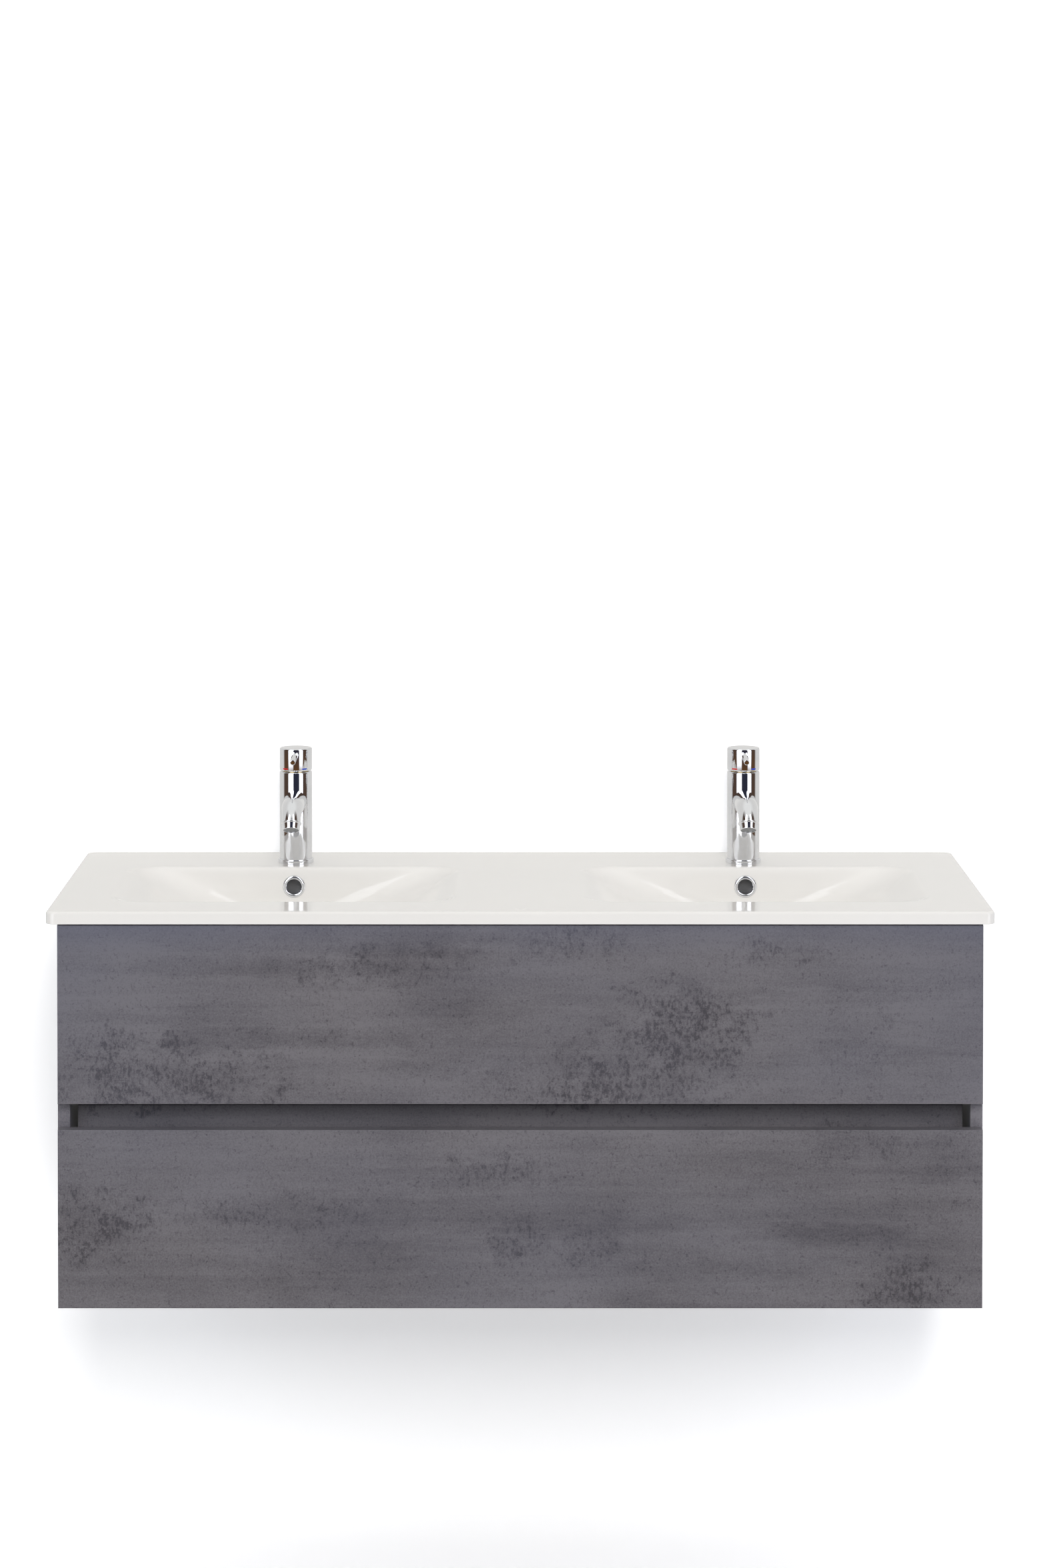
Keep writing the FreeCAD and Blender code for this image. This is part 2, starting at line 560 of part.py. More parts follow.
def spout():
    """Round spout: it leaves the body level and turns down in an arc, slightly tapered."""
    dip = math.radians(SPOUT_DIP_DEG)
    level = SPOUT_END_Z + BEND_R * (1 - math.cos(dip))
    bend_y = SPOUT_END_Y + BEND_R * math.sin(dip)
    stations = [(-6.0, level, 0.0), (bend_y * 0.5, level, 0.0)]
    for step in range(5):
        turn = dip * step / 4
        stations.append((bend_y - BEND_R * math.sin(turn), level - BEND_R * (1 - math.cos(turn)), turn))
    wires = []
    for i, (y, z, turn) in enumerate(stations):
        radius = SPOUT_R[0] + (SPOUT_R[1] - SPOUT_R[0]) * min(1, i / 5)
        circle = Part.Circle(V(0, y, z), V(0, -math.cos(turn), -math.sin(turn)), radius)
        wires.append(Part.Wire([circle.toShape()]))
    return Part.makeLoft(wires, True, False)


def tap_body():
    """Tap body with spout, cartridge seat, shank, inlets and the hole for the stud."""
    body = rod(TAP_R, (0, 0, 0), (0, 0, TAP_BODY_H))
    body = body.makeFillet(3, edges_where(body, lambda p: p.z > TAP_BODY_H - 1))
    body = body.fuse([spout(), rod(SHANK_R, (0, 0, -8), (0, 0, 1))]).removeSplitter()
    body = body.cut(rod(CARTRIDGE_R, (0, 0, SEAT_Z), (0, 0, TAP_BODY_H + 1)))
    body = body.cut(rod(STUD_R, (0, STUD_Y, -9), (0, STUD_Y, 6)))
    for x in (-INLET_X, INLET_X):
        body = body.cut(rod(INLET_R, (x, INLET_Y, -9), (x, INLET_Y, 4)))
    waterway = rod(8, SPOUT_END - OUTLET_WAY * 12, SPOUT_END + OUTLET_WAY)
    return body.cut(waterway)


def base_ring():
    """Ring that covers the joint between the tap and the deck."""
    ring = rod(TAP_R + 2.1, (0, 0, 0), (0, 0, 6))
    ring = ring.makeFillet(1.5, edges_where(ring, lambda p: p.z > 5))
    return ring.cut(rod(TAP_R + 0.05, (0, 0, -1), (0, 0, 7)))


def cartridge():
    """Cartridge and the ring that holds it, which shows in the groove under the cap."""
    core = rod(CARTRIDGE_R, (0, 0, SEAT_Z), (0, 0, CAP_BOTTOM - 1))
    return core.fuse(rod(13.5, (0, 0, CAP_BOTTOM - 2), (0, 0, 131))).removeSplitter()


def stem():
    """Carrier that turns with the handle and holds its pivot pin between two ears."""
    disc = rod(14, (0, 0, 131.5), (0, 0, 134))
    ears = [box((x - 1.5, x + 1.5), (-5, 5), (133, PIVOT_Z + 4)) for x in (-7.5, 7.5)]
    return disc.fuse(ears + [rod(PIN_R, (-8, 0, PIVOT_Z), (8, 0, PIVOT_Z))]).removeSplitter()


def lever():
    """Tapered pin lever, nearly level."""
    start, end = V(0, -18, 150.6), V(0, -72, 147.2)
    pin = Part.makeCone(4.6, 3.6, (end - start).Length, start, end - start)
    return pin.makeFillet(1.0, edges_where(pin, lambda p: p.y < -70))


def cap():
    """Hollow handle cap with a lug on the pivot pin, cut away below the back so that it can tilt."""
    shell = rod(TAP_R, (0, 0, CAP_BOTTOM), (0, 0, CAP_TOP))
    shell = shell.makeFillet(1.2, edges_where(shell, lambda p: p.z > CAP_TOP - 1))
    shell = shell.makeFillet(3.0, edges_where(shell, lambda p: p.z < CAP_BOTTOM + 1))
    shell = shell.cut(rod(TAP_R - CAP_WALL, (0, 0, CAP_BOTTOM - 1), (0, 0, CAP_TOP - 3)))
    lug = box((-5.7, 5.7), (-4, 4), (PIVOT_Z - 4, CAP_TOP - 2.5))
    shell = shell.fuse(lug).removeSplitter().cut(rod(PIN_R + RUNNING, (-9, 0, PIVOT_Z), (9, 0, PIVOT_Z)))
    wedge = box((-30, 30), (0, 40), (-20, 0))
    wedge.rotate(V(0, 0, 0), V(1, 0, 0), LIFT_DEG)
    wedge.translate(V(0, 0, CAP_BOTTOM))
    return shell.cut(wedge)


def aerator():
    """Collar that screws on the spout's end, with the recessed outlet disc."""
    collar = rod(COLLAR_R, SPOUT_END, SPOUT_END + OUTLET_WAY * COLLAR_LEN)
    far = [e for e in collar.Edges if (e.CenterOfMass - SPOUT_END).dot(OUTLET_WAY) > COLLAR_LEN - 1]
    collar = collar.makeFillet(0.8, far)
    return collar.cut(rod(10.2, SPOUT_END + OUTLET_WAY * (COLLAR_LEN - 1.5), SPOUT_END + OUTLET_WAY * 20))


def tap_fixing():
    """Threaded stud, horseshoe washer and nut below the ceramic."""
    under = -BASIN_EDGE
    stud = rod(STUD_R, (0, STUD_Y, under - 44), (0, STUD_Y, 6))
    washer = rod(24, (0, 0, under - 4), (0, 0, under)).cut(box((-14, 14), (-3, 30), (under - 5, under + 1)))
    washer = washer.cut(stud)
    nut = hexagon(13, under - 11, under - 4, 0, STUD_Y).cut(stud)
    return [stud, washer, nut]


def at_tap(shape):
    """Place a tap piece on the right-hand tap hole."""
    return moved(shape, BOWL_X, TAP_Y, DECK)


handle_lever = lever()
tap_pieces = (("body", tap_body()), ("cartridge", cartridge()), ("stem", stem()),
              ("cap", cap().cut(handle_lever)), ("lever", handle_lever))
for name, piece in tap_pieces:
    placed = at_tap(piece)
    save(f"tap_right_{name}", placed)
    save(f"tap_left_{name}", mirrored(placed))
save("tap_base_rings", *both(at_tap(base_ring())))
save("tap_aerators", *both(at_tap(aerator())))
save("tap_fixings", *both(*[at_tap(piece) for piece in tap_fixing()]))
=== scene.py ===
import json
import logging
import math
from dataclasses import dataclass
from enum import Enum

import bmesh
import bpy
import numpy as np
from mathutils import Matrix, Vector


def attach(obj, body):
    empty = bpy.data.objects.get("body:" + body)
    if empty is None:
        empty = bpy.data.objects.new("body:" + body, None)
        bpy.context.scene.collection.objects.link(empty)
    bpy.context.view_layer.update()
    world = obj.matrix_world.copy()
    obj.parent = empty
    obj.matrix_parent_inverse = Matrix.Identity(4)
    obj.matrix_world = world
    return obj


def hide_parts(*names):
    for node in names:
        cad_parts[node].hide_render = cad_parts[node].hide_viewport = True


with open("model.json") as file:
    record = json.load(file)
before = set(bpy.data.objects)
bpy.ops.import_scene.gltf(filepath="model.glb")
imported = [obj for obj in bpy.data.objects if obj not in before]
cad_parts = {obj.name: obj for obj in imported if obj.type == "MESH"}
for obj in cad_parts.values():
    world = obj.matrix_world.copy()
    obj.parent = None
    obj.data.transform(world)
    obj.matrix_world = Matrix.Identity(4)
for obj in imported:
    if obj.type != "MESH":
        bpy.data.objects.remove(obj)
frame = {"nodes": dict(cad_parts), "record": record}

LOG = logging.getLogger("vanity")
MM = 0.001

Colour = tuple[float, float, float]
Point = tuple[float, float, float]


# ---------------------------------------------------------------- shader toolkit
class Value:
    """A number that changes over a surface. Python's operators on it add Math nodes."""

    def __init__(self, graph: "Graph", socket: bpy.types.NodeSocket) -> None:
        """Wrap one output socket of a graph."""
        self.graph = graph
        self.socket = socket

    def __add__(self, other: "Value | float") -> "Value":
        """Sum."""
        return self.graph.maths("ADD", self, other)

    __radd__ = __add__

    def __sub__(self, other: "Value | float") -> "Value":
        """Difference."""
        return self.graph.maths("SUBTRACT", self, other)

    def __rsub__(self, other: float) -> "Value":
        """Difference from a plain number."""
        return self.graph.maths("SUBTRACT", other, self)

    def __mul__(self, other: "Value | float") -> "Value":
        """Product."""
        return self.graph.maths("MULTIPLY", self, other)

    __rmul__ = __mul__

    def __truediv__(self, other: "Value | float") -> "Value":
        """Quotient."""
        return self.graph.maths("DIVIDE", self, other)

    def __rtruediv__(self, other: float) -> "Value":
        """Quotient of a plain number."""
        return self.graph.maths("DIVIDE", other, self)

    def __neg__(self) -> "Value":
        """Opposite."""
        return self.graph.maths("MULTIPLY", self, -1.0)

    def __pow__(self, other: float) -> "Value":
        """Power."""
        return self.graph.maths("POWER", self, other)

    def clamped(self) -> "Value":
        """The value held between 0 and 1."""
        return self.graph.maths("MINIMUM", self.graph.maths("MAXIMUM", self, 0.0), 1.0)

    def above(self, low: float, high: float) -> "Value":
        """0 below low, 1 above high and a straight ramp between; the other way round if low is larger."""
        return ((self - low) / (high - low)).clamped()


class Graph:
    """The node tree of one material or world."""

    def __init__(self, tree: bpy.types.NodeTree) -> None:
        """Start from an empty tree."""
        self.tree = tree
        tree.nodes.clear()

    def node(self, kind: str, settings: dict | None = None, sockets: dict | None = None) -> bpy.types.Node:
        """Add any node.

        Args:
            kind: the node's type without its ShaderNode prefix.
            settings: the node's own properties, set before its sockets.
            sockets: a number, colour, vector, Value or socket for each input, by name or index.

        Returns:
            The new node.
        """
        made = self.tree.nodes.new("ShaderNode" + kind)
        for name, setting in (settings or {}).items():
            setattr(made, name, setting)
        for key, given in (sockets or {}).items():
            target = made.inputs[key]
            if isinstance(given, Value):
                given = given.socket
            if isinstance(given, bpy.types.NodeSocket):
                self.tree.links.new(given, target)
            elif target.type == "RGBA" and len(given) == 3:
                target.default_value = (*given, 1.0)
            else:
                target.default_value = given
        return made

    def maths(self, operation: str, *terms: "Value | float") -> Value:
        """One Math node on values and numbers."""
        made = self.node("Math", {"operation": operation}, dict(enumerate(terms)))
        return Value(self, made.outputs[0])

    def place(self, scale: Point = (1, 1, 1), offset: Point = (0, 0, 0)) -> bpy.types.NodeSocket:
        """Object coordinates, in metres, moved and scaled along each axis."""
        where = self.node("TexCoord").outputs["Object"]
        mapping = self.node("Mapping", None, {"Vector": where, "Location": offset, "Scale": scale})
        return mapping.outputs["Vector"]

    def noise(self, where: bpy.types.NodeSocket, scale: float, detail: float = 3.0, roughness: float = 0.5,
              distortion: float = 0.0) -> Value:
        """Soft noise between 0 and 1, averaging about 0.5."""
        made = self.node("TexNoise", {"noise_dimensions": "3D"}, {
            "Vector": where, "Scale": scale, "Detail": detail, "Roughness": roughness,
            "Distortion": distortion})
        return Value(self, made.outputs["Fac"])

    def mix(self, factor: "Value | float", low: object, high: object) -> bpy.types.NodeSocket:
        """Colour between two colours."""
        made = self.node("Mix", {"data_type": "RGBA"}, {"Factor": factor})
        for key, given in ((6, low), (7, high)):
            if isinstance(given, bpy.types.NodeSocket):
                self.tree.links.new(given, made.inputs[key])
            else:
                made.inputs[key].default_value = (*given, 1.0)
        return made.outputs[2]

    def bump(self, height: Value, strength: float, distance: float) -> bpy.types.NodeSocket:
        """Normal bent by a height, whose full step stands for a distance in metres."""
        made = self.node("Bump", None, {"Height": height, "Strength": strength, "Distance": distance})
        return made.outputs["Normal"]

    def surface(self, sockets: dict) -> None:
        """Finish a material with a Principled shader."""
        shader = self.node("BsdfPrincipled", None, sockets)
        self.node("OutputMaterial", None, {"Surface": shader.outputs[0]})


def new_graph(name: str) -> tuple[bpy.types.Material, Graph]:
    """Empty material and its graph."""
    material = bpy.data.materials.new(name)
    material.use_nodes = True
    return material, Graph(material.node_tree)


# ---------------------------------------------------------------- finishes
@dataclass(frozen=True)
class Patch:
    """Soft oval area of the decor, in metres, and how strongly it is marked."""

    x: float
    z: float
    half_w: float
    half_h: float
    strength: float


WORN_PATCHES = (
    Patch(0.205, -0.085, 0.085, 0.065, 1.0), Patch(0.145, -0.140, 0.110, 0.045, 0.95),
    Patch(0.060, 0.036, 0.085, 0.020, 0.75), Patch(0.330, 0.024, 0.065, 0.015, 0.6),
    Patch(0.430, -0.105, 0.055, 0.040, 0.45), Patch(-0.470, -0.135, 0.150, 0.048, 0.9),
    Patch(-0.170, 0.010, 0.120, 0.030, 0.55), Patch(0.000, -0.150, 0.080, 0.030, 0.5),
    Patch(-0.545, -0.330, 0.060, 0.038, 0.9), Patch(-0.300, -0.306, 0.130, 0.022, 0.6),
    Patch(-0.030, -0.262, 0.080, 0.026, 0.6), Patch(0.000, -0.348, 0.034, 0.028, 0.75),
    Patch(0.085, -0.348, 0.036, 0.026, 0.7), Patch(0.490, -0.402, 0.050, 0.040, 0.95),
    Patch(0.430, -0.225, 0.070, 0.022, 0.6), Patch(0.555, -0.250, 0.030, 0.040, 0.5),
)
SMEARS = (
    Patch(-0.300, 0.004, 0.190, 0.012, 0.6), Patch(-0.270, -0.086, 0.170, 0.013, 0.75),
    Patch(-0.160, 0.024, 0.110, 0.009, 0.6), Patch(-0.090, -0.050, 0.110, 0.014, 0.35),
    Patch(0.240, -0.372, 0.130, 0.024, 0.5), Patch(0.400, -0.336, 0.090, 0.014, 0.6),
    Patch(-0.200, -0.356, 0.100, 0.018, 0.4), Patch(0.470, -0.028, 0.080, 0.012, 0.4),
)


@dataclass(frozen=True)
class ConcreteDecor:
    """Matt decor foil printed like trowelled slate-grey concrete."""

    name: str = "concrete_decor"
    light: Colour = (0.190, 0.180, 0.194)
    dark: Colour = (0.062, 0.057, 0.066)
    # colour of the painted cool light on the ends and the top band, also used for a random bluish tint of the
    # print
    painted_cool_light_and_tint: Colour = (0.135, 0.147, 0.208)
    tone: float = 0.70
    seed: float = 0.0
    spread: float = 1.3
    # how light the print is, how far each kind of marking moves it, and how much painted shade darkens the
    # lower part
    base: float = 0.83
    wide_streaks: float = 0.66
    thin_streaks: float = 0.46
    clouding: float = 1.15
    graininess: float = 1.75
    smearing: float = 0.40
    wearing: float = 0.28
    specking: float = 0.42
    scratching: float = 0.24
    paling: float = 0.34
    painted_lower_shade: float = 0.10

    @staticmethod
    def across_and_up(g: Graph) -> tuple[Value, Value]:
        """Distance across and height, in metres."""
        axes = g.node("SeparateXYZ", None, {"Vector": g.node("TexCoord").outputs["Object"]})
        return Value(g, axes.outputs[0]), Value(g, axes.outputs[2])

    def marked(self, g: Graph, patches: tuple[Patch, ...], ragged: Value) -> Value:
        """Sum of soft ovals with ragged outlines.

        Args:
            g: the material's graph.
            patches: the ovals.
            ragged: noise around zero that pushes the outlines in and out.

        Returns:
            The sum, between 0 and 1. Each oval is strength·(1 - u^2 - v^2 + ragged), held above
            zero, where u and v run from 0 at its middle to 1 at its outline.
        """
        x, z = self.across_and_up(g)
        total = None
        for patch in patches:
            u = (x - patch.x) * (1 / (self.spread * patch.half_w))
            v = (z - patch.z) * (1 / (self.spread * patch.half_h))
            oval = (1.0 - u * u - v * v + ragged).clamped() * patch.strength
            total = oval if total is None else g.maths("MAXIMUM", total, oval)
        return total

    def material(self) -> bpy.types.Material:
        """Build the material.

        Level streaks give the large light and dark areas. Worn patches are eaten by upright
        flecks, which thin out around them. Specks, fine level scratches and a grain cover all. Painted light
        gives a cool cast to the ends and the top band; painted shade darkens the lower part.
        """
        material, g = new_graph(self.name)
        shift = (self.seed, self.seed, self.seed)
        ragged = (g.noise(g.place((24, 24, 30), shift), 1.0, 8.0, 0.76) - 0.5) * 6.5
        torn = g.noise(g.place((11, 11, 15), shift), 1.0, 6.0, 0.66, 0.6).above(0.34, 0.60)
        worn = self.marked(g, WORN_PATCHES, ragged) * (torn * 0.5 + 0.5)
        smeared = self.marked(g, SMEARS, ragged * 0.5)
        wide = g.noise(g.place((2.0, 2.0, 30.0), shift), 1.0, 5.0, 0.58, 0.3) - 0.5
        thin = g.noise(g.place((9.0, 9.0, 120.0), shift), 1.0, 4.0, 0.6, 0.2) - 0.5
        clouds = g.noise(g.place((5.0, 5.0, 8.0), shift), 1.0, 4.0, 0.55, 0.4) - 0.5
        fleck_field = g.noise(g.place((230, 230, 120), shift), 1.0, 6.0, 0.70, 0.2)
        speck_field = g.noise(g.place((260, 260, 230), shift), 1.0, 4.0, 0.6)
        wear = (worn + (clouds + 0.05) * 1.3).clamped()
        flecks = ((fleck_field - 0.575 + wear * 0.13) * 8.0).clamped()
        pale = ((0.405 - fleck_field) * 9.0).clamped() * wear
        specks = ((speck_field - 0.60 + wear * 0.04) * 12.0).clamped()
        scratches = g.noise(g.place((12.0, 12.0, 420.0), shift), 1.0, 4.0, 0.55, 0.5).above(0.66, 0.76)
        grain = g.noise(g.place((1, 1, 1), shift), 420.0, 5.0, 0.75) - 0.5
        value = self.base + wide * self.wide_streaks + thin * self.thin_streaks
        value = value + clouds * self.clouding + grain * self.graininess
        value = value - smeared * self.smearing - wear * self.wearing - flecks * (0.19 + wear * 0.40)
        value = value - specks * self.specking - scratches * self.scratching + pale * self.paling
        x, height = self.across_and_up(g)
        # Painted shade: darker towards the bottom of the fronts, where less light falls.
        value = value - height.above(-0.18, -0.26) * self.painted_lower_shade
        # Painted light: a cool cast at the ends of the fronts, as from the bluish side lamps, and along the
        # top band, where the basin's overhang shades the fronts. A random bluish print tint is mixed into the
        # same colour.
        ends = g.maths("ABSOLUTE", x).above(0.25, 0.62) * height.above(-0.30, 0.0)
        painted_cool_light_and_tint = ends * 0.24 + height.above(0.02, 0.055) * 0.26
        tint = g.noise(g.place((2.5, 2.5, 5.0), (3.1, 1.7, 0.4)), 1.0, 3.0).above(0.45, 0.75)
        colour = g.mix(value.clamped(), self.scaled(self.dark), self.scaled(self.light))
        colour = g.mix((painted_cool_light_and_tint + tint * 0.15).clamped(), colour, self.scaled(self.painted_cool_light_and_tint))
        g.surface({"Base Color": colour, "Roughness": 0.50 + (clouds + grain) * 0.10,
                   "Specular IOR Level": 0.4,
                   "Normal": g.bump(grain * 0.4 - flecks * 0.4 - specks * 0.3, 0.2, 0.00015)})
        return material

    def scaled(self, colour: Colour) -> Colour:
        """A colour times the finish's tone."""
        return tuple(self.tone * c for c in colour)


@dataclass(frozen=True)
class MelamineBoard:
    """Fine-textured melamine of the drawer boxes."""

    name: str = "drawer_melamine"
    colour: Colour = (0.30, 0.31, 0.32)

    def material(self) -> bpy.types.Material:
        """Speckled print with a fine linen-like texture."""
        material, g = new_graph(self.name)
        speck = g.noise(g.place(), 900.0, 3.0, 0.6)
        threads = g.noise(g.place((60, 60, 900)), 1.0, 2.0) + g.noise(g.place((900, 900, 60)), 1.0, 2.0)
        dark = tuple(0.86 * c for c in self.colour)
        light = tuple(1.10 * c for c in self.colour)
        colour = g.mix((0.5 * threads + (speck - 0.5)).clamped(), dark, light)
        g.surface({"Base Color": colour, "Roughness": 0.42 + (speck - 0.5) * 0.15,
                   "Normal": g.bump(threads, 0.12, 0.0001)})
        return material


@dataclass(frozen=True)
class GlazedCeramic:
    """White vitreous glaze with the faint waviness of fired ware."""

    name: str = "white_glaze"
    colour: Colour = (0.680, 0.666, 0.640)

    def material(self) -> bpy.types.Material:
        """Nearly even white, a little deeper where the glaze pools."""
        material, g = new_graph(self.name)
        pool = g.noise(g.place((5, 5, 5)), 1.0, 3.0, 0.5)
        wave = g.noise(g.place((14, 14, 14)), 1.0, 2.0, 0.4)
        deep = tuple(0.985 * c for c in self.colour)
        colour = g.mix(pool.above(0.35, 0.65), deep, self.colour)
        g.surface({"Base Color": colour, "Roughness": 0.07 + (pool - 0.5) * 0.03, "IOR": 1.5,
                   "Normal": g.bump(wave, 0.05, 0.0006)})
        return material


class MetalTone(Enum):
    """Bare and plated metals used in the taps, wastes and hardware."""

    CHROME = ((0.80, 0.81, 0.83), 0.035, 0.00002)
    ZINC = ((0.58, 0.60, 0.62), 0.34, 0.00008)
    BRASS = ((0.66, 0.48, 0.20), 0.28, 0.00005)


@dataclass(frozen=True)
class Metal:
    """Metal finish with handling marks."""

    name: str
    tone: MetalTone

    def material(self) -> bpy.types.Material:
        """Metal whose roughness drifts with faint wipe marks, over a very shallow polish ripple."""
        material, g = new_graph(self.name)
        colour, rough, ripple = self.tone.value
        wipes = g.noise(g.place((18, 18, 40)), 1.0, 4.0, 0.6)
        fine = g.noise(g.place(), 420.0, 3.0, 0.5)
        worn = tuple(0.93 * c for c in colour)
        g.surface({"Base Color": g.mix(wipes.above(0.4, 0.7), colour, worn), "Metallic": 1.0,
                   "Roughness": rough * (0.75 + 0.5 * wipes), "Normal": g.bump(fine, 0.1, ripple)})
        return material


@dataclass(frozen=True)
class Moulding:
    """Moulded plastic or rubber with a fine spark-eroded texture."""

    name: str
    colour: Colour
    rough: float = 0.45

    def material(self) -> bpy.types.Material:
        """Even colour with slight flow clouds and a fine pitted texture."""
        material, g = new_graph(self.name)
        flow = g.noise(g.place((9, 9, 9)), 1.0, 3.0)
        pits = g.noise(g.place(), 1500.0, 2.0)
        light = tuple(min(1.0, 1.08 * c) for c in self.colour)
        g.surface({"Base Color": g.mix(flow, self.colour, light),
                   "Roughness": self.rough + (pits - 0.5) * 0.1,
                   "Normal": g.bump(pits, 0.1, 0.00008)})
        return material


@dataclass(frozen=True)
class OutletMesh:
    """Fine grey mesh across a tap's outlet."""

    name: str = "outlet_mesh"
    pitch: float = 1.1 * MM

    def material(self) -> bpy.types.Material:
        """Crossed wires: each is a sine of the distance across, and the gaps between are painted dark as the
        shade inside the outlet.
        """
        material, g = new_graph(self.name)
        axes = g.node("SeparateXYZ", None, {"Vector": g.place()})
        waves = [g.maths("SINE", Value(g, axes.outputs[i]) * (2 * math.pi / self.pitch)) for i in range(2)]
        wires = g.maths("MAXIMUM", waves[0], waves[1]).above(-0.2, 0.6)
        # Painted shade: the openings between the wires are dark, as the shade behind them.
        g.surface({"Base Color": g.mix(wires, (0.05, 0.05, 0.05), (0.34, 0.35, 0.36)), "Roughness": 0.4,
                   "Metallic": wires * 0.5, "Normal": g.bump(wires, 0.5, 0.0002)})
        return material


@dataclass(frozen=True)
class Beech:
    """Beech dowels."""

    name: str = "beech"

    def material(self) -> bpy.types.Material:
        """Pale wood with rays drawn out along the dowel."""
        material, g = new_graph(self.name)
        rays = g.noise(g.place((40, 600, 600)), 1.0, 4.0)
        g.surface({"Base Color": g.mix(rays, (0.62, 0.42, 0.24), (0.75, 0.56, 0.36)),
                   "Roughness": 0.6 + rays * 0.1,
                   "Normal": g.bump(rays, 0.2, 0.0001)})
        return material


# ---------------------------------------------------------------- surfaces
class Skin:
    """Surface gathered from rectangular grids of points, welded where they meet."""

    def __init__(self) -> None:
        """Start with nothing."""
        self.points: list[np.ndarray] = []
        self.quads: list[np.ndarray] = []
        self.count = 0

    def sheet(self, grid: np.ndarray) -> "Skin":
        """Add a grid of points in millimetres, shaped (rows, columns, 3)."""
        rows, columns = grid.shape[:2]
        index = self.count + np.arange(rows * columns).reshape(rows, columns)
        quads = np.stack([index[:-1, :-1], index[1:, :-1], index[1:, 1:], index[:-1, 1:]], axis=-1)
        self.points.append(grid.reshape(-1, 3) * MM)
        self.quads.append(quads.reshape(-1, 4))
        self.count += rows * columns
        return self

    def mesh(self, name: str, sharp_deg: float = 50.0, open_at_x0: bool = False) -> bpy.types.Object:
        """Make the object.

        Args:
            name: the object's name.
            sharp_deg: edges that bend more than this stay crisp.
            open_at_x0: leave out the faces that lie in the middle plane, where two halves meet.

        Returns:
            The object, welded, smooth and facing outwards.
        """
        points, quads = np.concatenate(self.points), np.concatenate(self.quads)
        if open_at_x0:
            quads = quads[np.abs(points[quads][:, :, 0]).max(axis=1) > 1e-9]
        data = bpy.data.meshes.new(name)
        data.from_pydata(points.tolist(), [], quads.tolist())
        work = bmesh.new()
        work.from_mesh(data)
        bmesh.ops.remove_doubles(work, verts=work.verts, dist=2e-6)
        bmesh.ops.dissolve_degenerate(work, edges=work.edges, dist=1e-7)
        bmesh.ops.recalc_face_normals(work, faces=work.faces)
        work.to_mesh(data)
        work.free()
        data.polygons.foreach_set("use_smooth", np.ones(len(data.polygons), bool))
        data.set_sharp_from_angle(angle=math.radians(sharp_deg))
        made = bpy.data.objects.new(name, data)
        bpy.context.scene.collection.objects.link(made)
        return made


def softened(corners: list[tuple[float, float, float]], steps: int = 7) -> np.ndarray:
    """Polyline of (radius, height) points whose corners are rounded.

    Args:
        corners: radius, height and rounding at each corner, in millimetres.
        steps: points on each rounded corner.

    Returns:
        The points. A rounded corner is the curve (1-s)^2 a + 2s(1-s) p + s^2 b, from a point a
        before the corner p to a point b after it.
    """
    path = [np.array(corners[0][:2], float)]
    for before, (r, h, soft), after in zip(corners, corners[1:], corners[2:]):
        p = np.array((r, h), float)
        if soft <= 0:
            path.append(p)
            continue
        back, on = np.array(before[:2]) - p, np.array(after[:2]) - p
        a, b = p + back / np.linalg.norm(back) * soft, p + on / np.linalg.norm(on) * soft
        s = np.linspace(0, 1, steps)[:, None]
        path.extend((1 - s) ** 2 * a + 2 * s * (1 - s) * p + s ** 2 * b)
    path.append(np.array(corners[-1][:2], float))
    return np.array(path)


def turned(profile: np.ndarray, at: Point = (0, 0, 0), axis: Point = (0, 0, 1),
           turns: int = 96) -> np.ndarray:
    """Surface of revolution: at + h·axis + r·(cos a·u + sin a·v), u and v square to the axis."""
    w = np.array(axis, float) / np.linalg.norm(axis)
    u = np.cross((0, 1, 0) if abs(w[1]) < 0.9 else (1, 0, 0), w)
    u /= np.linalg.norm(u)
    v = np.cross(w, u)
    a = np.linspace(0, 2 * np.pi, turns + 1)[None, :, None]
    r, h = profile[:, 0][:, None, None], profile[:, 1][:, None, None]
    return np.array(at) + h * w + r * (np.cos(a) * u + np.sin(a) * v)


def ring(x: tuple[float, float], y: tuple[float, float], radii: tuple[float, float, float, float],
         per_corner: int = 13, per_side: int = 26) -> np.ndarray:
    """Round-cornered rectangle as a closed ring of points.

    Args:
        x: left and right limits.
        y: front and back limits.
        radii: of the front right, back right, back left and front left corners.
        per_corner: points on each corner's arc.
        per_side: points between two arcs.

    Returns:
        The points, shaped (count, 2), with the first repeated at the end. Every ring has the same
        count on each corner and side, so that rings can be joined point by point.
    """
    signs = ((1, -1), (1, 1), (-1, 1), (-1, -1))
    arcs = []
    for quarter, ((sx, sy), r) in enumerate(zip(signs, radii)):
        centre = np.array([x[1] - r if sx > 0 else x[0] + r, y[1] - r if sy > 0 else y[0] + r])
        a = np.radians(np.linspace(-90, 0, per_corner) + 90 * quarter)
        arcs.append(centre + r * np.stack([np.cos(a), np.sin(a)], axis=-1))
    points = []
    for arc, following in zip(arcs, arcs[1:] + arcs[:1]):
        share = np.linspace(0, 1, per_side + 2)[1:-1, None]
        points += [arc, arc[-1] + (following[0] - arc[-1]) * share]
    points = np.concatenate(points)
    return np.concatenate([points, points[:1]])


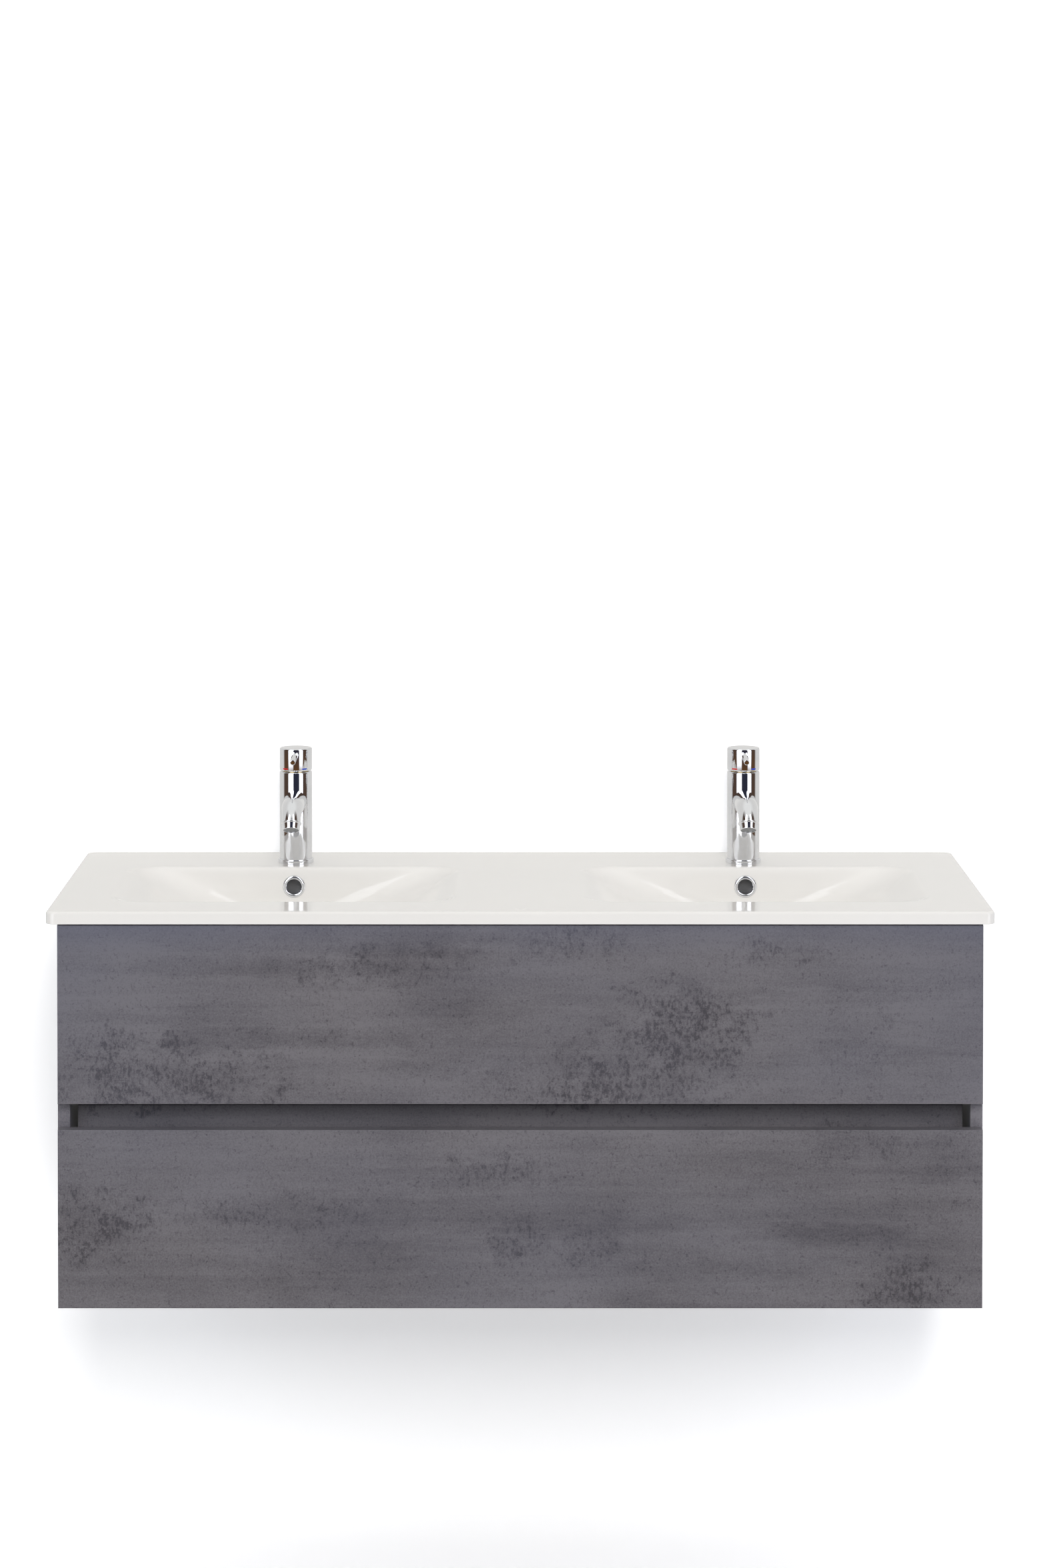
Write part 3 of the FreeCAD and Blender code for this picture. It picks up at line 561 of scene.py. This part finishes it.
def cut(piece: bpy.types.Object, cutter: bpy.types.Object) -> None:
    """Take one closed object out of another, and remove the cutter."""
    step = piece.modifiers.new("cut", "BOOLEAN")
    step.operation, step.solver, step.object = "DIFFERENCE", "EXACT", cutter
    result = bpy.data.meshes.new_from_object(piece.evaluated_get(bpy.context.evaluated_depsgraph_get()))
    piece.modifiers.clear()
    piece.data = result
    bpy.data.objects.remove(cutter)


def place(piece: bpy.types.Object, body: str, slot: str, finish: bpy.types.Material,
          *nodes: str) -> bpy.types.Object:
    """Finish a piece.

    Args:
        piece: the new object.
        body: the moving body it rides on.
        slot: the material slot it takes its finish from; not used.
        finish: its material.
        nodes: the pieces of the frame it stands for.

    Returns:
        The same object.
    """
    piece.data.materials.clear()
    piece.data.materials.append(finish)
    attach(piece, body)
    if nodes:
        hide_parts(*nodes)
    LOG.info("%s: %d faces, rides on %s", piece.name, len(piece.data.polygons), body)
    return piece


# ---------------------------------------------------------------- washbasin
@dataclass
class Washbasin:
    """Double ceramic washbasin, drawn in millimetres. Its right half is mirrored for the left."""

    width: float = 1210.0
    depth: float = 465.0
    deck: float = 76.0
    edge: float = 16.0
    corner: float = 12.0
    arris: float = 4.0
    wall: float = 9.0
    bowl_x: float = 308.0
    drain_y: float = -240.0
    drain_r: float = 23.0
    overflow_z: float = 50.0
    overflow_r: float = 11.3
    bore_from_y: float = -150.0
    bore_length: float = 50.0
    rim_passes: int = 16
    corner_passes: int = 60
    # drop below the deck, half width, back, front and corner radius of the bowl
    drops: tuple[float, ...] = (0, 45, 78, 100)
    half_widths: tuple[float, ...] = (221, 143, 88, 46)
    backs: tuple[float, ...] = (-127, -132, -151, -194)
    fronts: tuple[float, ...] = (-388, -372, -338, -286)
    corners: tuple[float, ...] = (40, 60, 64, 44)

    def at_drop(self, drop: float, grow: float = 0.0) -> np.ndarray:
        """Ring of the bowl at a drop below the deck, each measure being a cubic of the drop."""
        half, back, front, corner = (
            float(np.polyval(np.polyfit(self.drops, values, 3), drop))
            for values in (self.half_widths, self.backs, self.fronts, self.corners))
        x = (self.bowl_x - half - grow, self.bowl_x + half + grow)
        return ring(x, (front - grow, back + grow), (corner + grow,) * 4)

    def drain(self) -> np.ndarray:
        """Ring of the drain hole, each point on the line from its centre to the ring above."""
        centre = np.array([self.bowl_x, self.drain_y])
        away = self.at_drop(self.drops[-1]) - centre
        return centre + away / np.linalg.norm(away, axis=1, keepdims=True) * self.drain_r

    @staticmethod
    def level(flat: np.ndarray, z: float) -> np.ndarray:
        """A flat ring raised to a height."""
        return np.column_stack([flat, np.full(len(flat), z)])

    def hollow(self) -> np.ndarray:
        """Rings down the inside of the bowl, from just outside its rim to the drain.

        The rings are averaged with the rings above and below, which rounds the rim and the foot of
        the walls. Then each point is averaged with its neighbours in its own ring, more so further
        down, which softens the slanted corners.
        """
        rim = self.at_drop(0)
        rings = [self.level(self.at_drop(0, grow), self.deck) for grow in np.linspace(16, 1, 16)]
        rings += [self.level(rim if drop == 0 else self.at_drop(drop), self.deck - drop)
                  for drop in np.linspace(0, self.drops[-1], 66)]
        floor, last = self.drain(), self.at_drop(self.drops[-1])
        rings += [self.level(last + (floor - last) * share, self.deck - self.drops[-1])
                  for share in np.linspace(0.1, 1, 10)]
        rings = np.array(rings)
        for _ in range(self.rim_passes):
            rings[1:-1] += 0.5 * (0.5 * (rings[:-2] + rings[2:]) - rings[1:-1])
        deep = np.clip((self.deck - rings[:, :1, 2:] - 2) / 30, 0, 1)
        for _ in range(self.corner_passes):
            loop = rings[:, :-1]
            around = 0.5 * (np.roll(loop, 1, axis=1) + np.roll(loop, -1, axis=1))
            loop = loop + 0.5 * deep * (around - loop)
            rings[:-1] = np.concatenate([loop, loop[:, :1]], axis=1)[:-1]
        return rings

    def outer(self, inset: float) -> np.ndarray:
        """Ring of this half's outer edge, drawn in by an inset except at the middle."""
        x = (0.0, self.width / 2 - inset)
        y = (inset - self.depth, -inset)
        turn = self.corner - inset
        return ring(x, y, (turn, max(turn, 1.0), 0.0, 0.0))

    def half(self) -> np.ndarray:
        """Closed stack of rings: bowl, deck, rounded edge, underside, outside of the bowl, drain."""
        bowl = self.hollow()
        deck_in, deck_out = bowl[0][:, :2], self.outer(self.arris)
        rings = list(bowl[::-1])
        rings += [self.level(deck_in + (deck_out - deck_in) * share, self.deck)
                  for share in np.linspace(0.12, 1, 8)]
        for turn in np.radians(np.linspace(10, 90, 9)):
            rings.append(self.level(self.outer(self.arris * (1 - math.sin(turn))),
                                    self.deck - self.arris * (1 - math.cos(turn))))
        under = self.deck - self.edge
        rings += [self.level(self.outer(0.0), z) for z in (under + 1.2, under + 0.35)]
        rings.append(self.level(self.outer(0.5), under))
        below = np.linspace(self.edge, self.drops[-1], 24)
        rings += [self.level(self.at_drop(drop, self.wall),
                             self.deck - drop - self.wall * (drop - self.edge) / (self.drops[-1] - self.edge))
                  for drop in below]
        rings.append(self.level(self.drain(), self.deck - self.drops[-1] - self.wall))
        rings.append(rings[0])
        return np.array(rings)

    def build(self, glaze: bpy.types.Material) -> None:
        """Make both halves as one piece and bore the two overflows."""
        right = self.half()
        left = right * (-1, 1, 1)
        basin = Skin().sheet(right).sheet(left).mesh("washbasin", 40.0, open_at_x0=True)
        for side in (-1, 1):
            outline = [(0, 0, 0), (self.overflow_r, 0, 0), (self.overflow_r, self.bore_length, 0),
                       (0, self.bore_length, 0)]
            at = (side * self.bowl_x, self.bore_from_y, self.overflow_z)
            cut(basin, Skin().sheet(turned(softened(outline), at, (0, 1, 0))).mesh("bore"))
        place(basin, "cabinet", "ceramic", glaze, "basin")


@dataclass
class OverflowRing:
    """Chromed ring around an overflow, with its sleeve into the ceramic."""

    side: str
    wall_y: float = -130.4
    outer_r: float = 15.4
    inner_r: float = 9.8

    def build(self, chrome: bpy.types.Material, shade: bpy.types.Material) -> None:
        """Turn the ring and its sleeve, and close the sleeve with a dark disc: painted shade, standing for
        the shade deep in the overflow bore.
        """
        x = Washbasin.bowl_x * (-1 if self.side == "left" else 1)
        z = Washbasin.overflow_z
        at, way, inner, outer = (x, self.wall_y, z), (0, 1, 0), self.inner_r, self.outer_r
        profile = softened([(inner, 14, 0), (inner, -2.4, 1.2), (inner + 1.4, -3.9, 1.3),
                            (outer - 1.6, -3.9, 1.9), (outer, -1.8, 1.2), (outer, 0.6, 0),
                            (inner + 1.2, 0.6, 0), (inner + 1.2, 14, 0), (inner, 14, 0)])
        body = Skin().sheet(turned(profile, at, way)).mesh(f"overflow_ring_{self.side}")
        place(body, "cabinet", "chrome", chrome, "overflow_rings")
        # Painted shade: a dark disc where the bore runs on into shade.
        shade_disc = softened([(0, 11.5, 0), (inner + 0.1, 10.2, 0), (inner + 0.1, 13.5, 0), (0, 13.8, 0)])
        plate = Skin().sheet(turned(shade_disc, at, way)).mesh(f"overflow_baffle_{self.side}")
        place(plate, "cabinet", "chrome", shade)


# ---------------------------------------------------------------- tap
@dataclass
class Tap:
    """Single-lever basin tap, drawn in millimetres about its own axis from the deck up."""

    side: str
    radius: float = 22.25
    body_h: float = 126.2
    cap_from: float = 127.2
    cap_to: float = 158.2
    cap_wall: float = 2.75
    well_r: float = 17.6
    well_floor: float = 118.0
    base_r: float = 24.4
    base_h: float = 6.0
    lift_deg: float = 18.0
    spout_radii: tuple[float, float] = (15.5, 12.6)
    spout_end: tuple[float, float] = (-104.0, 70.0)
    spout_dip_deg: float = 63.0
    bend_r: float = 30.0

    @property
    def at(self) -> np.ndarray:
        """Where the tap stands, on the deck."""
        return np.array([Washbasin.bowl_x * (-1 if self.side == "left" else 1), -85.0, Washbasin.deck])

    def part(self, name: str, *grids: np.ndarray, sharp_deg: float = 50.0) -> bpy.types.Object:
        """One piece of the tap from grids drawn about its axis."""
        skin = Skin()
        for grid in grids:
            skin.sheet(grid + self.at)
        return skin.mesh(f"tap_{self.side}_{name}", sharp_deg)

    def column(self) -> np.ndarray:
        """Upright body with a soft shoulder and the well of the cartridge."""
        return turned(softened([(0, 0, 0), (self.radius, 0, 0), (self.radius, self.body_h, 2.3),
                                (self.well_r, self.body_h, 0.4), (self.well_r, self.well_floor, 0),
                                (0, self.well_floor, 0)]), turns=160)

    def spout(self) -> np.ndarray:
        """Swept spout, along a level line and then an arc.

        The circle at path point (y, z) with slope angle q is r·(cos a, -sin a·sin q, sin a·cos q),
        and r eases from the root's radius to the outlet's.
        """
        dip = math.radians(self.spout_dip_deg)
        level = self.spout_end[1] + self.bend_r * (1 - math.cos(dip))
        bend_y = self.spout_end[0] + self.bend_r * math.sin(dip)
        turn = np.concatenate([np.zeros(14), np.linspace(0, dip, 30)])
        y = np.concatenate([np.linspace(0, bend_y, 15)[:-1], bend_y - self.bend_r * np.sin(turn[14:])])
        z = np.concatenate([np.full(14, level), level - self.bend_r * (1 - np.cos(turn[14:]))])
        share = np.linspace(0, 1, len(y))
        ease = share * share * (3 - 2 * share)
        r = self.spout_radii[0] + (self.spout_radii[1] - self.spout_radii[0]) * ease
        r[0] = 0.0
        r, y, z, turn = (np.append(v, v[-1]) for v in (r, y, z, turn))
        r[-1] = 0.0
        a = np.linspace(0, 2 * np.pi, 97)[None, :]
        r, y, z, turn = (v[:, None] for v in (r, y, z, turn))
        return np.stack([r * np.cos(a), y - r * np.sin(a) * np.sin(turn),
                         z + r * np.sin(a) * np.cos(turn)], axis=-1)

    def outlet(self) -> tuple[Point, Point]:
        """Middle of the spout's end, and the way it points."""
        dip = math.radians(self.spout_dip_deg)
        return (0.0, *self.spout_end), (0.0, -math.cos(dip), -math.sin(dip))

    def cap(self) -> np.ndarray:
        """Hollow handle cap. Below the back it rises by y·tan(lift), so that it can tilt."""
        top, low, inner = self.cap_to, self.cap_from, self.radius - self.cap_wall
        grid = turned(softened([(0, top, 0), (self.radius - 1, top, 0.8), (self.radius, top - 1.2, 1.0),
                                (self.radius, low, 2.3), (inner, low, 0.4), (inner, top - 3, 0),
                                (0, top - 3, 0)]), turns=160)
        share = np.clip(1 - (grid[..., 2] - low) / 14, 0, 1)
        grid[..., 2] += np.clip(grid[..., 1], 0, None) * math.tan(math.radians(self.lift_deg)) * share
        return grid

    def mark(self, from_deg: float, to_deg: float) -> np.ndarray:
        """Flat enamel mark on the cap, between two angles from the front, with round ends."""
        share = np.linspace(-1, 1, 25)[:, None]
        a = np.radians((from_deg + to_deg) / 2 + share * (to_deg - from_deg) / 2)
        half = 0.95 * np.sqrt(np.clip(1 - share ** 8, 0, 1))
        across = np.array([-1, -1, 1, 1, -1])[None, :]
        r = self.radius + np.array([-0.3, 0.07, 0.07, -0.3, -0.3])[None, :]
        return np.stack([r * np.sin(a), -r * np.cos(a), self.cap_from + 3.6 + half * across], axis=-1)

    def build(self, chrome: bpy.types.Material, mesh: bpy.types.Material, hot: bpy.types.Material,
              cold: bpy.types.Material) -> None:
        """Make every visible piece of the tap."""
        name = f"tap_{self.side}"
        handle = f"{name}_handle"
        place(self.part("column", self.column(), self.spout()), "cabinet", "chrome", chrome, f"{name}_body")
        bore = self.radius + 0.05
        base = softened([(bore, 0, 0), (self.base_r, 0, 0.2), (self.base_r, self.base_h, 1.3),
                         (bore, self.base_h, 0.3), (bore, 0, 0)])
        place(self.part("base_ring", turned(base, turns=160)), "cabinet", "chrome", chrome, "tap_base_rings")
        at, way = self.outlet()
        collar = softened([(12.0, -1.0, 0), (13.9, -0.2, 0.5), (13.9, 1.5, 0.5), (12.5, 2.2, 0.3),
                           (11.6, 9.6, 0.5), (11.2, 10.3, 0.3), (10.3, 10.3, 0.2), (10.3, 9.3, 0),
                           (0, 9.3, 0)])
        place(self.part("collar", turned(collar, at, way)), "cabinet", "chrome", chrome, "tap_aerators")
        disc = softened([(0, 9.35, 0), (0.1, 9.9, 0), (10.25, 9.6, 0), (10.25, 9.35, 0), (0, 9.35, 0)])
        place(self.part("outlet_mesh", turned(disc, at, way)), "cabinet", "grey_plastic", mesh)
        place(self.part("cap", self.cap()), handle, "chrome", chrome, f"{name}_cap")
        start, end = np.array((0, -18, 150.6)), np.array((0, -72, 147.2))
        length = float(np.linalg.norm(end - start))
        pin = softened([(0, 0, 0), (4.6, 0, 0), (3.7, length, 1.0), (0, length, 0)])
        place(self.part("lever", turned(pin, tuple(start), tuple(end - start))), handle, "chrome", chrome,
              f"{name}_lever")
        place(self.part("hot_mark", self.mark(-49, -25)), handle, "chrome", hot)
        place(self.part("cold_mark", self.mark(25, 46)), handle, "chrome", cold)


# ---------------------------------------------------------------- studio
@dataclass(frozen=True)
class Lamp:
    """Rectangular soft light, in metres, turned towards the vanity."""

    name: str
    at: Point
    size: tuple[float, float]
    watts: float
    colour: Colour

    def build(self) -> None:
        """Hang the light where polished pieces don't mirror it."""
        data = bpy.data.lights.new(self.name, "AREA")
        data.shape = "RECTANGLE"
        data.size, data.size_y = self.size
        data.energy = self.watts
        data.color = self.colour
        made = bpy.data.objects.new(self.name, data)
        made.location = self.at
        made.rotation_euler = (LAMP_TARGET - Vector(self.at)).to_track_quat("-Z", "Y").to_euler()
        made.visible_glossy = False
        bpy.context.scene.collection.objects.link(made)


LAMP_TARGET = Vector((0, -0.25, -0.1))
LAMPS = (
    Lamp("key", (0.35, -6.0, 3.2), (1.9, 3.2), 303.0, (1.0, 0.985, 0.96)),
    Lamp("left", (-2.3, -2.0, 0.6), (1.0, 1.8), 13.0, (0.90, 0.98, 1.10)),
    Lamp("right", (2.3, -2.0, 0.6), (1.0, 1.8), 13.0, (0.88, 0.96, 1.16)),
)


@dataclass
class Studio:
    """Pale wall and floor, soft light and the camera."""

    floor_z: float = -0.86
    wall_y: float = 0.003
    lift: float = 0.18
    camera_at: Point = (-0.0105, -5.021, 0.9065)
    tilt_down_deg: float = 1.364
    lens_mm: float = 82.6
    shift: tuple[float, float] = (0.0067, -0.2804)

    def camera(self) -> None:
        """Camera level with the eye, nearly square to the front, with the horizon shifted up."""
        data = bpy.data.cameras.new("camera")
        data.lens = self.lens_mm
        data.sensor_width = 36.0
        data.shift_x, data.shift_y = self.shift
        data.clip_start, data.clip_end = 0.05, 100.0
        made = bpy.data.objects.new("camera", data)
        made.location = self.camera_at
        made.rotation_euler = (math.radians(90 - self.tilt_down_deg), 0, 0)
        bpy.context.scene.collection.objects.link(made)
        bpy.context.scene.camera = made

    def world(self) -> None:
        """White to the camera, even light on matt surfaces, and a room for polished ones to mirror.

        The room is dark in front with two tall soft boxes, light behind and above, and has a
        brown floor. Angles are degrees to the right of the view and above the level.
        """
        world = bpy.data.worlds.new("studio")
        world.use_nodes = True
        bpy.context.scene.world = world
        g = Graph(world.node_tree)
        way = g.node("TexCoord").outputs["Generated"]
        axes = g.node("SeparateXYZ", None, {"Vector": way})
        x, y, z = (Value(g, axes.outputs[i]) for i in range(3))
        turn = g.maths("ARCTAN2", x, y * -1.0) * (180 / math.pi)
        rise = g.maths("ARCSINE", z) * (180 / math.pi)
        upright = rise.above(-14, -8) * rise.above(62, 54)
        left_box = turn.above(-52, -49) * turn.above(-14, -17) * upright
        right_box = turn.above(26, 29) * turn.above(55, 52) * upright
        behind = g.maths("ABSOLUTE", turn).above(84, 96)
        middle = turn.above(-20, -12) * turn.above(32, 24)
        brown_side, navy_middle = (0.085, 0.055, 0.042), (0.028, 0.030, 0.050)
        brown_floor = (0.13, 0.060, 0.022)
        light_rear, ceiling, soft_box = (0.78, 0.77, 0.75), (0.92, 0.92, 0.90), (2.6, 2.65, 2.8)
        room = g.mix(middle, brown_side, navy_middle)
        room = g.mix(rise.above(-4, -14), room, brown_floor)
        room = g.mix(behind, room, light_rear)
        room = g.mix(rise.above(40, 62), room, ceiling)
        room = g.mix((left_box + right_box).clamped(), room, soft_box)
        path = g.node("LightPath")
        even = g.mix(rise.above(5, 70), (0.03, 0.03, 0.035), (0.80, 0.79, 0.78))
        colour = g.mix(Value(g, path.outputs["Is Glossy Ray"]), even, room)
        colour = g.mix(Value(g, path.outputs["Is Camera Ray"]), colour, (1.0, 1.0, 1.0))
        back = g.node("Background", None, {"Color": colour, "Strength": 1.0})
        g.node("OutputWorld", None, {"Surface": back.outputs[0]})

    def sheet(self, name: str, corners: list[Point]) -> bpy.types.Object:
        """One flat sheet of the set."""
        mesh = bpy.data.meshes.new(name)
        mesh.from_pydata(corners, [], [(0, 1, 2, 3)])
        made = bpy.data.objects.new(name, mesh)
        bpy.context.scene.collection.objects.link(made)
        return made

    def paper(self, name: str, one_sided: bool) -> bpy.types.Material:
        """White paper, lifted so that it reads as white where it isn't shadowed.

        Args:
            name: the material's name.
            one_sided: whether it is clear from behind and to shadow rays.

        Returns:
            The material.
        """
        material, g = new_graph(name)
        path = g.node("LightPath")
        seen = g.mix(Value(g, path.outputs["Is Camera Ray"]), (0, 0, 0), (1, 1, 1))
        paper = g.node("BsdfPrincipled", None, {
            "Base Color": (0.97, 0.97, 0.97), "Roughness": 0.9, "Specular IOR Level": 0.0,
            "Emission Color": seen, "Emission Strength": self.lift})
        clear = g.node("BsdfTransparent")
        hide = g.maths("MAXIMUM", Value(g, g.node("NewGeometry").outputs["Backfacing"]),
                       Value(g, path.outputs["Is Shadow Ray"]))
        both = g.node("MixShader", None, {0: hide * (1.0 if one_sided else 0.0), 1: paper.outputs[0],
                                          2: clear.outputs[0]})
        g.node("OutputMaterial", None, {"Surface": both.outputs[0]})
        return material

    def set_up(self) -> None:
        """Pale floor, and a wall that hides nothing from behind."""
        z, y = self.floor_z, self.wall_y
        floor = self.sheet("floor", [(-3, -2.6, z), (3, -2.6, z), (3, 3, z), (-3, 3, z)])
        wall = self.sheet("wall", [(-3, y, z), (3, y, z), (3, y, 2.2), (-3, y, 2.2)])
        floor.data.materials.append(self.paper("floor_paper", False))
        wall.data.materials.append(self.paper("wall_paper", True))
        floor.visible_glossy = wall.visible_glossy = False

    def build(self) -> None:
        """Set the camera, the light, the wall and the floor."""
        self.camera()
        self.world()
        for lamp in LAMPS:
            lamp.build()
        self.set_up()
        bpy.context.scene.view_settings.view_transform = "Standard"


# ---------------------------------------------------------------- carried-over pieces
SLOT_FINISHES = {
    "front_decor": ConcreteDecor(),
    # Same foil as the fronts with a higher tone: painted light that lifts the carcass parts seen in shade,
    # above all the recess board between the drawers.
    "carcass_decor": ConcreteDecor(name="carcass_decor", tone=0.86, seed=4.0),
    "drawer_board": MelamineBoard(),
    "ceramic": GlazedCeramic(),
    "chrome": Metal("polished_chrome", MetalTone.CHROME),
    "zinc_steel": Metal("zinc_plate", MetalTone.ZINC),
    "brass": Metal("bare_brass", MetalTone.BRASS),
    "grey_plastic": Moulding("grey_moulding", (0.23, 0.24, 0.25)),
    "white_plastic": Moulding("white_moulding", (0.74, 0.74, 0.72)),
    "beech": Beech(),
    "rubber": Moulding("clear_rubber", (0.55, 0.55, 0.54), 0.3),
}


def dress_frame(finishes: dict[str, bpy.types.Material]) -> None:
    """Give every carried-over node the finish of its slot."""
    for part in frame["record"]["subparts"]:
        node = frame["nodes"][part["node"]]
        for holder in node.material_slots:
            holder.material = finishes[part["material_slot"]]
        LOG.info("%s: %s", part["node"], part["material_slot"])


def main() -> None:
    """Build the studio and the vanity."""
    logging.basicConfig(level=logging.INFO, format="%(name)s: %(message)s")
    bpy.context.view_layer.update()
    Studio().build()
    finishes = {slot: finish.material() for slot, finish in SLOT_FINISHES.items()}
    dress_frame(finishes)
    Washbasin().build(finishes["ceramic"])
    # dark moulding that paints the shade inside the overflow bores
    shade = Moulding("overflow_shade", (0.075, 0.075, 0.078), 0.3).material()
    mesh = OutletMesh().material()
    hot = Moulding("hot_enamel", (0.55, 0.03, 0.03), 0.25).material()
    cold = Moulding("cold_enamel", (0.03, 0.07, 0.45), 0.25).material()
    for side in ("left", "right"):
        OverflowRing(side).build(finishes["chrome"], shade)
        Tap(side).build(finishes["chrome"], mesh, hot, cold)


if __name__ == "__main__":
    main()
